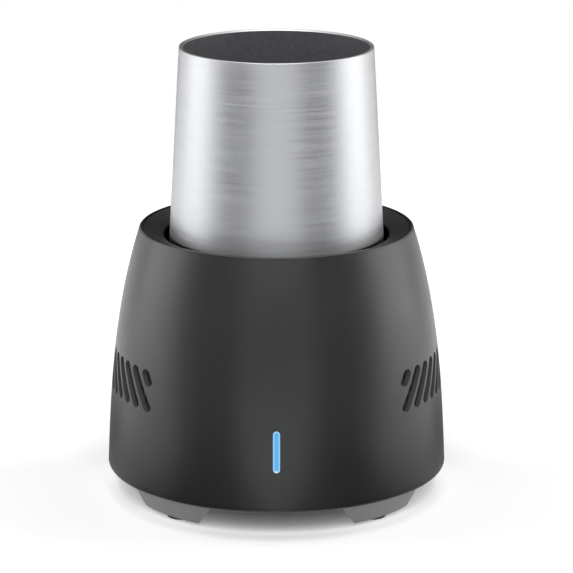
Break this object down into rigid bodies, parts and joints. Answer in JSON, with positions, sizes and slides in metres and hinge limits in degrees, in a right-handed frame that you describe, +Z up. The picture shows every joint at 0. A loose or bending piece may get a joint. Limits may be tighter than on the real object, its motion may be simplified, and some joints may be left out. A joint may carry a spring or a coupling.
{
  "type": "desktop drink chiller",
  "caption": "Desktop drink chiller: a tapered metal cup lifts out of a flared round base with slanted side vents, a lit power key, a fan and a thermoelectric cold plate.",
  "frame": {"origin": "on the vertical axis of the cup and housing, at the surface that the pads stand on", "axes": "+Z up along the cup's axis, -Y to the front where the lit power key is, +X to the right seen from the front"},
  "size_m": [0.1318, 0.1318, 0.1754],
  "materials": {
    "housing_plastic": "satin",
    "collar_plastic": "satin",
    "cup_metal": "brushed",
    "key_lens": "lit",
    "screen_plastic": "matte",
    "base_plastic": "matte",
    "pad_rubber": "matte",
    "seal_rubber": "matte",
    "screw_steel": "plain",
    "black_plastic": "matte",
    "contact_metal": "plated",
    "sink_metal": "plain",
    "white_foam": "foam",
    "black_foam": "foam",
    "ceramic": "matte",
    "couple_metal": "plain",
    "nylon": "matte",
    "bearing_bronze": "sintered",
    "winding_copper": "wound",
    "magnet_ferrite": "matte",
    "board_laminate": "satin",
    "lead_black": "satin",
    "lead_red": "satin",
    "capacitor_can": "plain",
    "lamp_white": "gloss"
  },
  "bodies": {
    "base": {"housing_shell": "housing_plastic", "top_collar": "collar_plastic", "vent_screen_left": "screen_plastic", "vent_screen_right": "screen_plastic", "base_plate": "base_plastic", "foot_pad_front_left": "pad_rubber", "foot_pad_front_right": "pad_rubber", "foot_pad_rear_left": "pad_rubber", "foot_pad_rear_right": "pad_rubber", "housing_screws": "screw_steel", "stack_screws": "screw_steel", "dc_inlet": "black_plastic", "dc_inlet_pin": "contact_metal", "dc_inlet_nut": "screw_steel", "cold_plate": "sink_metal", "well_seal": "seal_rubber", "insulation_ring": "white_foam", "temperature_sensor": "black_plastic", "peltier_cold_face": "ceramic", "peltier_couples": "couple_metal", "peltier_hot_face": "ceramic", "peltier_gasket": "black_foam", "clamp_screws": "screw_steel", "clamp_washers": "nylon", "heat_sink": "sink_metal", "fan_frame": "black_plastic", "fan_bearing": "bearing_bronze", "fan_stator": "winding_copper", "control_board": "board_laminate", "tact_switch": "black_plastic", "indicator_leds": "lamp_white", "controller_chip": "black_plastic", "board_capacitors": "capacitor_can", "board_inductor": "magnet_ferrite", "board_connectors": "nylon", "power_lead": "lead_black", "fan_lead": "lead_black", "peltier_lead": "lead_red", "sensor_lead": "lead_black"},
    "cup": {"cup": "cup_metal"},
    "fan_rotor": {"fan_impeller": "black_plastic", "fan_shaft": "screw_steel", "fan_magnet": "magnet_ferrite"},
    "key": {"power_key": "key_lens", "switch_plunger": "nylon"}
  },
  "joints": [
    {"name": "cup_lift", "type": "slide", "parent": "base", "child": "cup", "axis": [0, 0, 1], "range_m": [0, 0.05]},
    {"name": "fan_spin", "type": "hinge", "parent": "base", "child": "fan_rotor", "pos_m": [0, 0, 0.0253], "axis": [0, 0, 1], "continuous": true},
    {"name": "key_press", "type": "slide", "parent": "base", "child": "key", "axis": [0, 1, 0], "range_m": [0, 0.0005], "stiffness_N_per_m": 3000, "springref_m": -0.0002}
  ]
}
